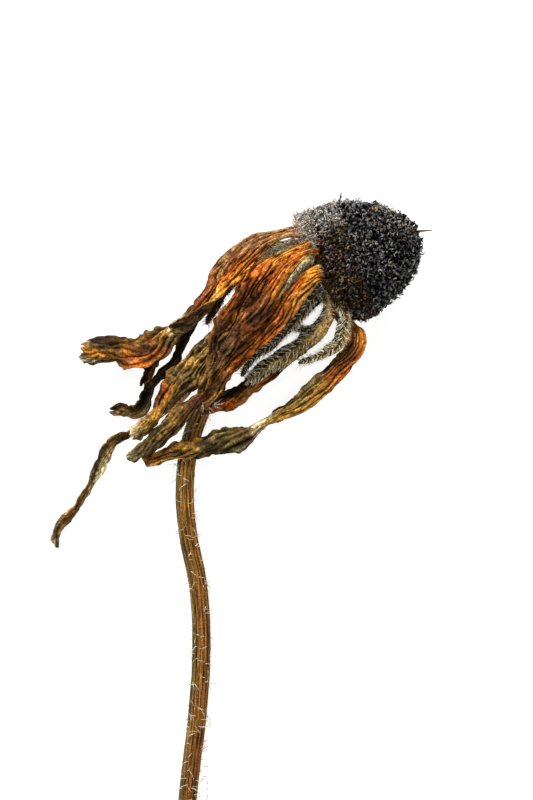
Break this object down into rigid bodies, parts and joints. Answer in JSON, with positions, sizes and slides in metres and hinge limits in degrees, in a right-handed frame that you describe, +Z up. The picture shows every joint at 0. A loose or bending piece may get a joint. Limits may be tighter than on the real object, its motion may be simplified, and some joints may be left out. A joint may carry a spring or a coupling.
{
  "type": "dried coneflower head",
  "caption": "Dried coneflower head lying on its side on a cut ribbed stem: a dark cone of disc florets with shrivelled, swept-back petals and bristly bracts.",
  "frame": {"origin": "middle of the box's underside, on the surface that the flower lies on", "axes": "+Z up from that surface, +Y from the cut end of the stem towards the head"},
  "size_m": [0.0577, 0.1042, 0.0191],
  "materials": {
    "stem": "dry, ribbed, matte",
    "florets": "dry, granular, matte",
    "petals": "dry, wrinkled, papery",
    "bracts": "dry, bristly, papery"
  },
  "bodies": {
    "root": {"stem_and_receptacle": "stem", "floret_cone": "florets", "ray_top_outer": "petals", "ray_top_inner": "petals", "ray_front_left": "petals", "ray_front_middle": "petals", "ray_front_right": "petals", "ray_right_long": "petals", "ray_lower_claw": "petals", "ray_olive": "petals", "ray_back_dark": "petals", "ray_back_short": "petals", "ray_back_thread": "petals", "ray_under_middle": "petals", "ray_under_right": "petals", "ray_under_long": "petals", "bract_top": "bracts", "bract_front_cream": "bracts", "bract_front_olive": "bracts", "bract_ribbon": "bracts", "bract_hooked": "bracts", "bract_right": "bracts", "bract_lower_right": "bracts", "bract_under_right": "bracts", "bract_under_middle": "bracts", "bract_under_left": "bracts", "bract_back_left": "bracts", "bract_back_top": "bracts"}
  },
  "joints": []
}
